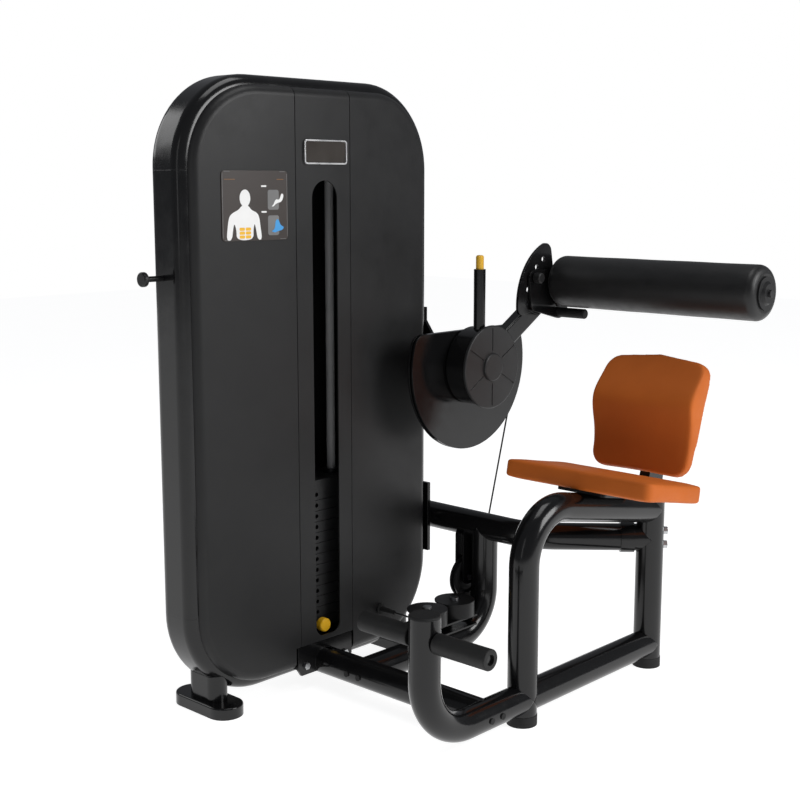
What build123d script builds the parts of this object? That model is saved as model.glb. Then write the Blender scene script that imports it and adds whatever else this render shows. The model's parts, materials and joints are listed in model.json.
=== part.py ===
from build123d import *
from math import acos, asin, atan2, cos, degrees, pi, radians, sin, sqrt
import os

# Ab crunch machine: a weight-stack tower, a tubular seat frame and a cable-driven
# press arm with a foam roller. Units are millimetres, +Z is up. The tower is centred
# on X = 0, Y = 0 while it is drawn; SHIFT moves everything so that the origin is the
# bottom centre of the whole machine.

# ---------------------------------------------------------------- driving dimensions
SHIFT = (-182.0, 420.0, 0.0)

TOWER_HALF_WIDTH = 441.5      # outer half width of the rim
TOWER_TOP = 1615.0
TOWER_BOTTOM = 36.0
RIM_THICK = 60.0              # rim tube, seen from the front
RIM_DEEP = 120.0              # rim tube, front to back
RIM_WALL = 3.0
RIM_BEND = 200.0              # centreline radius of the rim corners

COVER_INSET = 27.0            # cover edge, in from the outside of the rim
COVER_FRONT = 97.0            # crown of the front cover
COVER_CROWN = 4000.0          # radius of the crown
COVER_WALL = 4.0
COVER_CORNER = 203.0
SEAM_LEFT = -101.0
SEAM_RIGHT = 92.0
SLOT_CENTRE_X = -1.5
SLOT_WIDTH = 89.0
SLOT_BOTTOM = 137.0
SLOT_TOP = 1356.0
CUTOUT_TOP = 124.0            # top of the opening for the floor rail bracket

TUBE = 38.0                   # radius of every round frame tube
TUBE_WALL = 3.0
TUBE_LOW = 66.0               # height of the floor tubes
RAIL_X = -12.0
SEAT_Y = -657.0               # seat frame plane
HOOP_X = -231.0
HOOP_TOP = 370.0
FRONT_POST_X = 137.0
REAR_POST_X = 708.0
REAR_POST_TOP = 495.0
SEAT_TILT = 10.98             # degrees, the seat falls toward the backrest
BEAM_Z = 372.0
BEAM_X = 488.0
CURVED_Y = -240.0

HUB_X = 470.0
HUB_Z = 840.0
CAM_R = 242.0
CAM_CABLE_R = 222.0
CABLE_Y = -186.0              # plane shared by the beam pulley and the cam
CABLE_R = 2.5
CABLE_GAP = 0.5
CABLE_LOW = 158.0             # height of the horizontal cable runs
TOP_Z = 1480.0                # height of the top pulleys

PLATE_PITCH = 30.0
PLATE_COUNT = 12
STACK_HOLE_TOP = 517.5        # pin hole of the head plate
ROD_X = 106.0
ROD_R = 12.0

PIVOT_X = 798.0               # roller bracket pivot
PIVOT_Z = 1003.0
ROLLER_X = 793.0
ROLLER_Z = 1064.0
ROLLER_R = 75.0
ROLLER_NEAR = -932.0
ROLLER_FAR = -268.0


# ---------------------------------------------------------------- small helpers
def box(x0, x1, y0, y1, z0, z1):
    centre = Pos((x0 + x1) / 2, (y0 + y1) / 2, (z0 + z1) / 2)
    return centre * Box(x1 - x0, y1 - y0, z1 - z0)


def rod_x(x0, x1, y, z, r):
    return Pos((x0 + x1) / 2, y, z) * Rot(0, 90, 0) * Cylinder(r, x1 - x0)


def rod_y(x, y0, y1, z, r):
    return Pos(x, (y0 + y1) / 2, z) * Rot(90, 0, 0) * Cylinder(r, y1 - y0)


def rod_z(x, y, z0, z1, r):
    return Pos(x, y, (z0 + z1) / 2) * Cylinder(r, z1 - z0)


def bar(points, bend, r):
    if len(points) > 2:
        path = FilletPolyline(*points, radius=bend)
    else:
        path = Line(*points)
    section = Plane(origin=path @ 0, z_dir=path % 0) * Circle(r)
    return sweep(section, path=path)


def tube(points, bend, r=TUBE, wall=TUBE_WALL):
    return bar(points, bend, r) - bar(points, bend, r - wall)


def plate_xz(sketch, y0, y1):
    # sketch coordinates are (X, Z); y0 is the far side, y1 the near side
    return extrude(Plane.XZ.offset(-y1) * sketch, amount=y1 - y0)


def swing(shape, x, z, angle):
    # turns a shape about a front-to-back axis, from +X up toward +Z
    return Pos(x, 0, z) * Rot(0, -angle, 0) * Pos(-x, 0, -z) * shape


def group(*solids):
    return Compound(children=[s for item in solids for s in item.solids()])


def polar(x, z, r, angle):
    return (x + r * cos(radians(angle)), z + r * sin(radians(angle)))


def pulley(cable_r, outer, thick, bore):
    # a grooved wheel about Z, centred on the cable plane
    low = cable_r - CABLE_R - CABLE_GAP
    half = thick / 2
    wheel = Cylinder(outer, thick) - Cylinder(bore, thick + 2)
    groove = Polyline((low, 0, -3), (outer + 1, 0, -6), (outer + 1, 0, 6), (low, 0, 3), close=True)
    wheel -= revolve(make_face(groove), Axis.Z, 360)
    web = Cylinder(low - 7, half) - Cylinder(bore + 9, half)
    wheel -= Pos(0, 0, half * 0.5 + 4) * web
    wheel -= Pos(0, 0, -half * 0.5 - 4) * web
    return wheel


# ---------------------------------------------------------------- tower rim
RIM_X = TOWER_HALF_WIDTH - RIM_THICK / 2
RIM_Z0 = TOWER_BOTTOM + RIM_THICK / 2
RIM_Z1 = TOWER_TOP - RIM_THICK / 2
BREAK = RIM_BEND + 5


def oval_sweep(path, shrink):
    section = SlotOverall(RIM_DEEP - 2 * shrink, RIM_THICK - 2 * shrink)
    start = Plane(origin=path @ 0, x_dir=(0, 1, 0), z_dir=path % 0)
    return sweep(start * section, path=path)


def oval_tube(path):
    return oval_sweep(path, 0) - oval_sweep(path, RIM_WALL)


def arch_path(z_edge, z_open):
    return FilletPolyline(
        (-RIM_X, 0, z_open), (-RIM_X, 0, z_edge), (RIM_X, 0, z_edge), (RIM_X, 0, z_open), radius=RIM_BEND
    )


top_path = arch_path(RIM_Z1, RIM_Z1 - BREAK)
bottom_path = arch_path(RIM_Z0, RIM_Z0 + BREAK)
left_path = Line((-RIM_X, 0, RIM_Z0 + BREAK), (-RIM_X, 0, RIM_Z1 - BREAK))
right_path = Line((RIM_X, 0, RIM_Z0 + BREAK), (RIM_X, 0, RIM_Z1 - BREAK))

rim_uprights = group(oval_tube(left_path), oval_tube(right_path))
rim_arches = group(oval_tube(top_path), oval_tube(bottom_path))
rim_top_solid = oval_sweep(top_path, 0)
rim_bottom_solid = oval_sweep(bottom_path, 0)
rim_solid = [rim_top_solid, rim_bottom_solid, oval_sweep(left_path, 0), oval_sweep(right_path, 0)]


def tower_post(x):
    post = Pos(x, 0, 31) * extrude(Rot(0, 0, 90) * SlotOverall(116, 58), amount=69)
    return post - rim_bottom_solid


def tower_pad(x):
    pad = Pos(x, 0, 0) * extrude(Rot(0, 0, 90) * SlotOverall(222, 95), amount=31)
    return fillet(pad.edges().group_by(Axis.Z)[-1], 5)


tower_posts = group(tower_post(-340), tower_post(340))
tower_foot_pads = group(tower_pad(-340), tower_pad(340))

# ---------------------------------------------------------------- tower covers
COVER_W = 2 * (TOWER_HALF_WIDTH - COVER_INSET)
COVER_H = TOWER_TOP - TOWER_BOTTOM - 2 * COVER_INSET
COVER_Z = (TOWER_TOP + TOWER_BOTTOM) / 2


def cover_block(inset, edge):
    outline = RectangleRounded(COVER_W - 2 * inset, COVER_H - 2 * inset, COVER_CORNER - inset)
    block = extrude(Plane.XZ.offset(40) * Pos(0, COVER_Z) * outline, amount=80)
    crown = rod_z(0, COVER_CROWN - COVER_FRONT, 0, TOWER_TOP, COVER_CROWN - inset)
    block = block & crown
    front = block.faces().sort_by(Axis.Y)[0]
    return fillet(front.edges(), edge)


cover_solid = cover_block(0, 24)
cover_hollow = cover_block(COVER_WALL, 20)
cover_shell = cover_solid - cover_hollow
for piece in rim_solid:
    cover_shell -= piece
cover_shell -= box(-500, 500, -58, 0, 0, 1700)

rear_cover = mirror(cover_shell, Plane.XZ)

slot_high = Pos(SLOT_CENTRE_X, SLOT_TOP - 200) * Rot(0, 0, 90) * SlotOverall(400, SLOT_WIDTH)
slot_low = Pos(SLOT_CENTRE_X, (SLOT_BOTTOM + SLOT_TOP - 200) / 2)
slot_low *= RectangleRounded(SLOT_WIDTH, SLOT_TOP - 200 - SLOT_BOTTOM, 28)
front_shell = cover_shell - plate_xz(slot_high + slot_low, -120, -50)
front_shell -= box(-118, 94, -130, -50, 0, CUTOUT_TOP)
front_cover_left = front_shell & box(-500, SEAM_LEFT - 1, -200, 0, 0, 1700)
front_cover_centre = front_shell & box(SEAM_LEFT + 1, SEAM_RIGHT - 1, -200, 0, 0, 1700)
front_cover_right = front_shell & box(SEAM_RIGHT + 1, 500, -200, 0, 0, 1700)

GROMMET_X = 204.0
front_cover_right -= rod_y(GROMMET_X, -130, -60, CABLE_LOW, 10)
cable_grommet = rod_y(GROMMET_X, -99, -88, CABLE_LOW, 15) + rod_y(GROMMET_X, -90, -82, CABLE_LOW, 10)
cable_grommet += Pos(GROMMET_X, -124, CABLE_LOW) * Rot(90, 0, 0) * Cone(8, 6, 50)
cable_grommet -= front_cover_right
cable_grommet -= rod_y(GROMMET_X, -160, -60, CABLE_LOW, CABLE_R + 1.2)
cable_grommet = cable_grommet.solids().sort_by(SortBy.VOLUME)[-1]

bezel_outline = Pos(0, 1428) * (RectangleRounded(150, 62, 9) - RectangleRounded(142, 54, 6))
display_bezel = plate_xz(bezel_outline, -103, -90) - cover_solid
display_window = plate_xz(Pos(0, 1428) * RectangleRounded(142, 54, 6), -100, -90) - cover_solid
placard_block = plate_xz(Pos(-231.5, 1294.5) * RectangleRounded(203, 171, 10), -110, -70)
placard_skin = rod_z(0, COVER_CROWN - COVER_FRONT, 0, TOWER_TOP, COVER_CROWN + 2)
instruction_placard = (placard_block & placard_skin) - cover_solid

towel_peg = rod_x(-490, -TOWER_HALF_WIDTH, 15, 1121, 7)
towel_head = rod_x(-504, -490, 15, 1121, 18)
towel_peg += fillet(towel_head.edges(), 4)

# ---------------------------------------------------------------- inside the tower
top_carrier = box(-395, 395, -35, -25, 1425, 1515) + box(-395, 395, 25, 35, 1425, 1515)
top_carrier -= rim_top_solid
top_carrier += box(-140, 140, -40, 40, 1410, 1425)
top_carrier -= rod_z(0, 0, 1400, 1430, 14)

stack_base = box(-200, 236, -45, 45, 96, 115) - rim_bottom_solid
guide_rods = group(
    rod_z(-ROD_X, 0, 115, 1410, ROD_R),
    rod_z(ROD_X, 0, 115, 1410, ROD_R),
)

PLATE_LOW = STACK_HOLE_TOP - PLATE_PITCH * PLATE_COUNT - 15


def rod_holes(shape, clear):
    shape -= rod_z(-ROD_X, 0, 0, 1400, ROD_R + clear)
    shape -= rod_z(ROD_X, 0, 0, 1400, ROD_R + clear)
    return shape


def weight_plate(index):
    z0 = STACK_HOLE_TOP - PLATE_PITCH * index - 15
    plate = extrude(Pos(0, 2, z0) * RectangleRounded(320, 110, 8), amount=28.5)
    plate += rod_z(-ROD_X, 0, z0, z0 + PLATE_PITCH, 24)
    plate += rod_z(ROD_X, 0, z0, z0 + PLATE_PITCH, 24)
    plate = rod_holes(plate, 1.0)
    plate -= rod_z(0, 0, z0 - 1, z0 + 40, 12.5)
    plate -= rod_y(0, -60, 0, z0 + 15, 6)
    return plate


weight_plates = group(*[weight_plate(i) for i in range(1, PLATE_COUNT + 1)])

head_low = STACK_HOLE_TOP - 15
head_plate = extrude(Pos(0, 2, head_low) * RectangleRounded(320, 110, 8), amount=54.5)
head_plate += rod_z(-ROD_X, 0, head_low, head_low + 66, 22)
head_plate += rod_z(ROD_X, 0, head_low, head_low + 66, 22)
head_plate = rod_holes(head_plate, 0.1)
head_plate += rod_z(0, 0, PLATE_LOW + 2, 600, 11)
head_plate += rod_z(0, 0, head_low + 54.5, 632, 16)
head_plate -= rod_y(0, -60, -10, STACK_HOLE_TOP, 6)
for i in range(PLATE_COUNT + 1):
    head_plate -= rod_y(0, -20, 20, STACK_HOLE_TOP - PLATE_PITCH * i, 6)

SELECT_Z = STACK_HOLE_TOP - PLATE_PITCH * PLATE_COUNT
selector_pin = rod_y(0, -70, 8, SELECT_Z, 5)
selector_knob = rod_y(0, -86, -64, SELECT_Z, 19)
selector_pin += fillet(selector_knob.edges(), 5)

stack_cable = rod_z(0, 0, 632, TOP_Z, CABLE_R)


def ring_z(x, y, z0, z1, r_out, r_in):
    return rod_z(x, y, z0, z1, r_out) - rod_z(x, y, z0 - 1, z1 + 1, r_in)


# ---------------------------------------------------------------- floor tubes
HOOP_POINTS = [
    (FRONT_POST_X, SEAT_Y, TUBE_LOW),
    (HOOP_X, SEAT_Y, TUBE_LOW),
    (HOOP_X, SEAT_Y, HOOP_TOP),
]
RAIL_POINTS = [(RAIL_X, -45, TUBE_LOW), (RAIL_X, SEAT_Y, TUBE_LOW)]
slope = sin(radians(SEAT_TILT)) / cos(radians(SEAT_TILT))
SEAT_AXIS = (302.0, 531.6)    # a point on the sloping tube


def slope_z(x):
    return SEAT_AXIS[1] - slope * (x - SEAT_AXIS[0])


SEAT_POINTS = [
    (FRONT_POST_X, SEAT_Y, 27),
    (FRONT_POST_X, SEAT_Y, slope_z(FRONT_POST_X)),
    (REAR_POST_X, SEAT_Y, slope_z(REAR_POST_X)),
]
REAR_POINTS = [(REAR_POST_X, SEAT_Y, 27), (REAR_POST_X, SEAT_Y, REAR_POST_TOP)]
FLOOR_POINTS = [(FRONT_POST_X, SEAT_Y, TUBE_LOW), (REAR_POST_X, SEAT_Y, TUBE_LOW)]
BEAM_POINTS = [(BEAM_X, -10, BEAM_Z), (BEAM_X, -406, BEAM_Z), (REAR_POST_X, SEAT_Y, BEAM_Z)]
CURVED_POINTS = [
    (BEAM_X, CURVED_Y, BEAM_Z),
    (BEAM_X, CURVED_Y, TUBE_LOW),
    (RAIL_X, CURVED_Y, TUBE_LOW),
]

front_post_solid = rod_z(FRONT_POST_X, SEAT_Y, 27, 380, TUBE)
rear_post_solid = bar(REAR_POINTS, 0, TUBE)
hoop_solid = bar(HOOP_POINTS, 148, TUBE)
rail_solid = bar(RAIL_POINTS, 0, TUBE)
beam_solid = bar(BEAM_POINTS, 200, TUBE)
curved_solid = bar(CURVED_POINTS, 125, TUBE)

foot_hoop = tube(HOOP_POINTS, 148) - front_post_solid
base_rail = tube(RAIL_POINTS, 0) - hoop_solid - rim_bottom_solid
recess = extrude(Pos(RAIL_X, -118, 90) * Rot(0, 0, 90) * SlotOverall(34, 15), amount=30)
base_rail -= recess

bracket_outline = Polyline(
    (-112, CUTOUT_TOP), (-112, 60), (-100, 42), (76, 42), (88, 60), (88, CUTOUT_TOP), close=True
)
base_bracket = plate_xz(make_face(bracket_outline), -95, -87)
base_bracket += box(-112, -104, -88, -45, 60, CUTOUT_TOP)
base_bracket += box(80, 88, -88, -45, 60, CUTOUT_TOP)
base_bracket -= rim_bottom_solid
base_bracket -= rail_solid
base_rail += base_bracket

seat_front_tube = tube(SEAT_POINTS, 130) - rear_post_solid
seat_rear_post = tube(REAR_POINTS, 0)
seat_floor_tube = tube(FLOOR_POINTS, 0) - front_post_solid - rear_post_solid

cross_beam = tube(BEAM_POINTS, 200) - rear_post_solid
beam_dir = Vector(REAR_POST_X - BEAM_X, SEAT_Y + 406, 0).normalized()
beam_end = Vector(REAR_POST_X, SEAT_Y, BEAM_Z)
collar = bar([tuple(beam_end - beam_dir * 84), tuple(beam_end - beam_dir * 46)], 0, 43)
cross_beam += collar - beam_solid
curved_post = tube(CURVED_POINTS, 125) - beam_solid
curved_post -= rod_y(RAIL_X, CURVED_Y - 60, CURVED_Y + 60, TUBE_LOW, TUBE + 0.02)


# ---------------------------------------------------------------- side plates and hub bearing
housing_solid = rod_y(HUB_X, -170, -62, HUB_Z, 45)
hub_plate_outline = Polyline(
    (30, 690), (-36, 690), (-118, 770), (-118, 862), (-46, 958), (-46, 996), (30, 996), close=True
)
hub_plate = extrude(Plane.YZ.offset(TOWER_HALF_WIDTH) * make_face(hub_plate_outline), amount=10)
hub_plate -= housing_solid
beam_plate = box(TOWER_HALF_WIDTH, TOWER_HALF_WIDTH + 11, -60, 30, 273, 478) - beam_solid
side_plates = group(hub_plate, beam_plate)
bearing_housing = housing_solid - rod_y(HUB_X, -180, -50, HUB_Z, 20.05)

# ---------------------------------------------------------------- caps, plugs and grips
hoop_cap = rod_z(HOOP_X, SEAT_Y, HOOP_TOP, HOOP_TOP + 6, TUBE)
hoop_cap = fillet(hoop_cap.edges().group_by(Axis.Z)[-1], 4)
rear_cap = rod_z(REAR_POST_X, SEAT_Y, REAR_POST_TOP, REAR_POST_TOP + 6, TUBE) - bar(SEAT_POINTS, 130, TUBE)
beam_cap = rod_y(BEAM_X, -10, -4, BEAM_Z, TUBE)
beam_cap = fillet(beam_cap.edges().group_by(Axis.Y)[-1], 4) - beam_plate


def side_plug_x(y):
    stud = rod_x(RAIL_X - TUBE - 3, RAIL_X - TUBE + 6, y, TUBE_LOW, 8)
    return stud - rail_solid


def side_plug_y(x, z):
    stud = rod_y(x, SEAT_Y - TUBE - 3, SEAT_Y - TUBE + 6, z, 8)
    return stud - hoop_solid


tube_plugs = group(
    hoop_cap,
    rear_cap,
    beam_cap,
    side_plug_x(-215),
    side_plug_x(-258),
    side_plug_y(-29, TUBE_LOW),
    side_plug_y(13, TUBE_LOW),
)

rubber_pads = group(
    rod_z(FRONT_POST_X, SEAT_Y, 0, 27, 39),
    rod_z(REAR_POST_X, SEAT_Y, 0, 27, 39),
    ring_z(-ROD_X, 0, 115, PLATE_LOW, 26, ROD_R),
    ring_z(ROD_X, 0, 115, PLATE_LOW, 26, ROD_R),
)

# foot pegs: a steel core each side of the hoop with a rubber grip
foot_hoop += rod_y(HOOP_X, SEAT_Y - 190, SEAT_Y + 190, 315, 12.5) - hoop_solid


def peg_grip(y0, y1):
    grip = rod_y(HOOP_X, y0, y1, 315, 25)
    grip = fillet(grip.edges(), 3)
    return grip - rod_y(HOOP_X, y0 - 1, y1 + 1, 315, 12.5)


peg_grips = group(
    peg_grip(SEAT_Y + 39, SEAT_Y + 196),
    peg_grip(SEAT_Y - 182 - 14, SEAT_Y - 39),
)

# ---------------------------------------------------------------- pulleys and cable
BEAM_PULLEY = (469.0, CABLE_Y, 213.0)
BEAM_CABLE_R = 55.0
LOW_CABLE_R = 46.0
LOW_Y = CABLE_Y - LOW_CABLE_R
LOW_1 = (250.0, LOW_Y, CABLE_LOW)
LOW_2 = (366.0, LOW_Y, CABLE_LOW)
BASE_CABLE_R = 38.0
BASE_PULLEY = (GROMMET_X, -BASE_CABLE_R, CABLE_LOW + BASE_CABLE_R)
TOP_CABLE_R = 46.0
TOP_1 = (GROMMET_X - TOP_CABLE_R, 0.0, TOP_Z)
TOP_2 = (TOP_CABLE_R, 0.0, TOP_Z)
AXLE_R = 8.0
BORE_R = 8.05

beam_pulley = Pos(*BEAM_PULLEY) * Rot(90, 0, 0) * pulley(BEAM_CABLE_R, 60, 20, BORE_R)
low_pulley_1 = Pos(*LOW_1) * pulley(LOW_CABLE_R, 51, 22, BORE_R)
low_pulley_2 = Pos(*LOW_2) * pulley(LOW_CABLE_R, 51, 22, BORE_R)
base_pulley = Pos(*BASE_PULLEY) * Rot(0, 90, 0) * pulley(BASE_CABLE_R, 43, 20, BORE_R)
top_pulley_1 = Pos(*TOP_1) * Rot(90, 0, 0) * pulley(TOP_CABLE_R, 50, 22, BORE_R)
top_pulley_2 = Pos(*TOP_2) * Rot(90, 0, 0) * pulley(TOP_CABLE_R, 50, 22, BORE_R)

channel = box(190, 410, -280, -180, 103, 135)
channel -= box(189, 411, -281, -185, 108, 130)
channel -= curved_solid


def hanger(y0, y1):
    sketch = Pos(469, 280) * RectangleRounded(60, 170, 24)
    return plate_xz(sketch, y0, y1) - beam_solid - rod_y(469, -230, -150, 213, AXLE_R)


def base_cheek(x0, x1):
    cheek = box(x0, x1, -60, -14, 115, 222)
    return cheek - rod_x(x0 - 1, x1 + 1, BASE_PULLEY[1], BASE_PULLEY[2], AXLE_R)


channel -= rod_z(LOW_1[0], LOW_1[1], 120, 140, AXLE_R)
channel -= rod_z(LOW_2[0], LOW_2[1], 120, 140, AXLE_R)
pulley_brackets = group(
    channel,
    hanger(-201, -197).solids().sort_by(Axis.Z)[0],
    hanger(-175, -171).solids().sort_by(Axis.Z)[0],
    base_cheek(188, 193),
    base_cheek(215, 220),
)
top_carrier -= rod_y(TOP_1[0], -50, 50, TOP_Z, AXLE_R)
top_carrier -= rod_y(TOP_2[0], -50, 50, TOP_Z, AXLE_R)


def low_axle(x, y):
    axle = rod_z(x, y, 130, 182, AXLE_R) + rod_z(x, y, 135, CABLE_LOW - 11.5, 14)
    return axle + rod_z(x, y, 178, 184, 13)


def low_cover(x, y, start, arc):
    lid = rod_z(x, y, 174, 178, 57) - rod_z(x, y, 170, 180, AXLE_R)
    wall = Cylinder(57, 43, arc_size=arc, align=(Align.NONE, Align.NONE, Align.CENTER))
    wall = Pos(x, y, 156.5) * Rot(0, 0, start) * wall
    wall -= rod_z(x, y, 130, 174, 53)
    return lid + (wall & rod_z(x, y, 130, 174, 60))


pulley_axles = group(
    rod_y(469, -201, -171, 213, AXLE_R) + rod_y(469, -171, -165, 213, 13),
    low_axle(LOW_1[0], LOW_1[1]),
    low_axle(LOW_2[0], LOW_2[1]),
    rod_x(188, 220, BASE_PULLEY[1], BASE_PULLEY[2], AXLE_R),
    rod_y(TOP_1[0], -35, 35, TOP_Z, AXLE_R) + rod_y(TOP_1[0], -41, -35, TOP_Z, 13),
    rod_y(TOP_2[0], -35, 35, TOP_Z, AXLE_R) + rod_y(TOP_2[0], -41, -35, TOP_Z, 13),
)
low_pulley_covers = group(
    low_cover(LOW_1[0], LOW_1[1], 162, 182),
    low_cover(LOW_2[0], LOW_2[1], 190, 213),
)


def arc_xz(cx, cz, r, a0, a1, y):
    points = [polar(cx, cz, r, a) for a in (a0, (a0 + a1) / 2, a1)]
    return ThreePointArc(*[(px, y, pz) for px, pz in points])


def arc_xy(cx, cy, r, a0, a1, z):
    points = [polar(cx, cy, r, a) for a in (a0, (a0 + a1) / 2, a1)]
    return ThreePointArc(*[(px, py, z) for px, py in points])


span_x = HUB_X - BEAM_PULLEY[0]
span_z = HUB_Z - BEAM_PULLEY[2]
span = sqrt(span_x ** 2 + span_z ** 2)
leave = degrees(atan2(span_z, span_x) - acos((BEAM_CABLE_R - CAM_CABLE_R) / span))
cross = degrees(asin(2 * LOW_CABLE_R / (LOW_2[0] - LOW_1[0])))
low_off = cross - 90.0
pieces = [
    arc_xz(TOP_2[0], TOP_Z, TOP_CABLE_R, 180, 90, 0),
    None,
    arc_xz(TOP_1[0], TOP_Z, TOP_CABLE_R, 90, 0, 0),
    None,
    ThreePointArc(
        (GROMMET_X, 0, BASE_PULLEY[2]),
        (GROMMET_X, -38 + 38 * cos(pi / 4), BASE_PULLEY[2] - 38 * sin(pi / 4)),
        (GROMMET_X, -38, CABLE_LOW),
    ),
    None,
    arc_xy(LOW_1[0], LOW_1[1], LOW_CABLE_R, 180, 360 + low_off, CABLE_LOW),
    None,
    arc_xy(LOW_2[0], LOW_2[1], LOW_CABLE_R, 180 + low_off, 90, CABLE_LOW),
    None,
    arc_xz(BEAM_PULLEY[0], BEAM_PULLEY[2], BEAM_CABLE_R, -90, leave, CABLE_Y),
    None,
    arc_xz(HUB_X, HUB_Z, CAM_CABLE_R, leave, 8, CABLE_Y),
]
for i in range(1, len(pieces), 2):
    pieces[i] = Line(pieces[i - 1] @ 1, pieces[i + 1] @ 0)
cable_path = Wire(pieces)
cable_section = Plane(origin=cable_path @ 0, z_dir=cable_path % 0) * Circle(CABLE_R)
drive_cable = sweep(cable_section, path=cable_path)

# ---------------------------------------------------------------- cam and hub
cam_shape = Circle(CAM_R) & (Pos(0, 100 - 300) * Rectangle(600, 600))
corners = cam_shape.vertices().sort_by(Axis.Y)[-2:]
cam_shape = fillet(corners, 38)
cam_plate = plate_xz(Pos(HUB_X, HUB_Z) * cam_shape, CABLE_Y - 9, CABLE_Y + 9)
cam_groove = rod_y(HUB_X, CABLE_Y - 3.5, CABLE_Y + 3.5, HUB_Z, CAM_R + 4)
cam_groove -= rod_y(HUB_X, CABLE_Y - 5, CABLE_Y + 5, HUB_Z, CAM_CABLE_R - CABLE_R - CABLE_GAP)
clamp = Polyline((0, 0), (400, 400 * 0.1584), (400, 400 * 0.2493), close=True)
cam_groove -= plate_xz(Pos(HUB_X, HUB_Z) * make_face(clamp), CABLE_Y - 5, CABLE_Y + 5)
cam_plate -= cam_groove
cam_plate -= rod_y(HUB_X, -230, -150, HUB_Z, 20)

PIN_X = 455.0
PIN_Y = -240.0
PIN_LOW = 935.0               # the tip rides just clear of the index ring
hub_shaft = rod_y(HUB_X, -267, -62, HUB_Z, 20) + rod_y(HUB_X, -205, CABLE_Y - 9, HUB_Z, 94)
index_ring = rod_y(HUB_X, -255, -205, HUB_Z, 94) - rod_y(HUB_X, -256, -204, HUB_Z, 66)
for step in (0, 15, 30, 45, 60):
    index_ring -= swing(rod_z(PIN_X, PIN_Y, 900, 960, 8.4), HUB_X, HUB_Z, step)
hub_shaft += index_ring

hub_drum = rod_y(HUB_X, -269, -201, HUB_Z, 110) - rod_y(HUB_X, -259, -200, HUB_Z, 96)
hub_drum += rod_z(PIN_X, PIN_Y, 940, 1113, 16.5) - rod_y(HUB_X, -280, -195, HUB_Z, 100)
hub_drum -= rod_y(HUB_X, -280, -190, HUB_Z, 20.05)
hub_drum -= rod_z(PIN_X, PIN_Y, 900, 1120, 8.05)

hub_cover = rod_y(HUB_X, -277, -269, HUB_Z, 117)
hub_cover = fillet(hub_cover.edges().group_by(Axis.Y)[0], 3)
for step in range(6):
    groove = box(HUB_X + 46, HUB_X + 110, -290, -275, HUB_Z - 2, HUB_Z + 2)
    hub_cover -= swing(groove, HUB_X, HUB_Z, 60 * step + 30)
hub_cap = rod_y(HUB_X, -284, -277, HUB_Z, 39)
hub_cover += fillet(hub_cap.edges().group_by(Axis.Y)[0], 4)

pull_pin = rod_z(PIN_X, PIN_Y, PIN_LOW, 1120, 7.95)
pull_tip = rod_z(PIN_X, PIN_Y, 1113, 1152, 11)
pull_pin += fillet(pull_tip.edges().group_by(Axis.Z)[-1], 6)

ARM_ANGLE = 31.0
PLATE_Y = -244.0              # far face of the adjuster plate, bolted to the arm
drum_solid = rod_y(HUB_X, -290, -190, HUB_Z, 110)
arm_outer = box(HUB_X + 95, HUB_X + 300, PLATE_Y, PLATE_Y + 36, HUB_Z - 28, HUB_Z + 28)
arm_outer = fillet(arm_outer.edges().filter_by(Axis.X), 6)
arm_inner = box(HUB_X + 90, HUB_X + 296, PLATE_Y + 4, PLATE_Y + 32, HUB_Z - 24, HUB_Z + 24)
press_arm = swing(arm_outer - arm_inner, HUB_X, HUB_Z, ARM_ANGLE) - drum_solid

# ---------------------------------------------------------------- roller adjuster
HOLE_R = 144.0
FAN_R = 184.0
fan_start = polar(PIVOT_X, PIVOT_Z, FAN_R, 101)
fan_middle = polar(PIVOT_X, PIVOT_Z, FAN_R, 146)
fan_end = polar(PIVOT_X, PIVOT_Z, FAN_R, 191)
fan_edge = ThreePointArc(fan_start, fan_middle, fan_end)
fan = make_face([Line((PIVOT_X, PIVOT_Z), fan_start), fan_edge, Line(fan_end, (PIVOT_X, PIVOT_Z))])
fan = fillet(fan.vertices().sort_by(Axis.Y)[-1:], 28)
fan = fillet(fan.vertices().sort_by(Axis.X)[:1], 22)
fan += Pos(PIVOT_X, PIVOT_Z) * Circle(34)
adjuster_plate = plate_xz(fan, PLATE_Y - 8, PLATE_Y)
for angle in (118, 133, 148, 163, 178):
    hx, hz = polar(PIVOT_X, PIVOT_Z, HOLE_R, angle)
    adjuster_plate -= rod_y(hx, -260, -230, hz, 8.2)
adjuster_plate -= rod_y(PIVOT_X, -260, -230, PIVOT_Z, 12.05)

PIN2_X, PIN2_Z = polar(PIVOT_X, PIVOT_Z, HOLE_R, 148)


def disc(x, z, r):
    return Pos(x, z) * Circle(r)


bracket_sketch = make_hull(
    [
        edge
        for spot in (
            disc(PIN2_X, PIN2_Z, 22),
            disc(684, 1001, 20),
            disc(PIVOT_X, PIVOT_Z - 6, 44),
            disc(ROLLER_X, ROLLER_Z, 34),
        )
        for edge in spot.edges()
    ]
)
roller_bracket = plate_xz(bracket_sketch, -262, -254)
roller_bracket -= rod_y(PIN2_X, -270, -250, PIN2_Z, 8.05)
roller_bracket -= rod_y(PIVOT_X, -270, -250, PIVOT_Z, 12)
roller_bracket -= rod_y(ROLLER_X, -270, -250, ROLLER_Z, 12)

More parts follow.
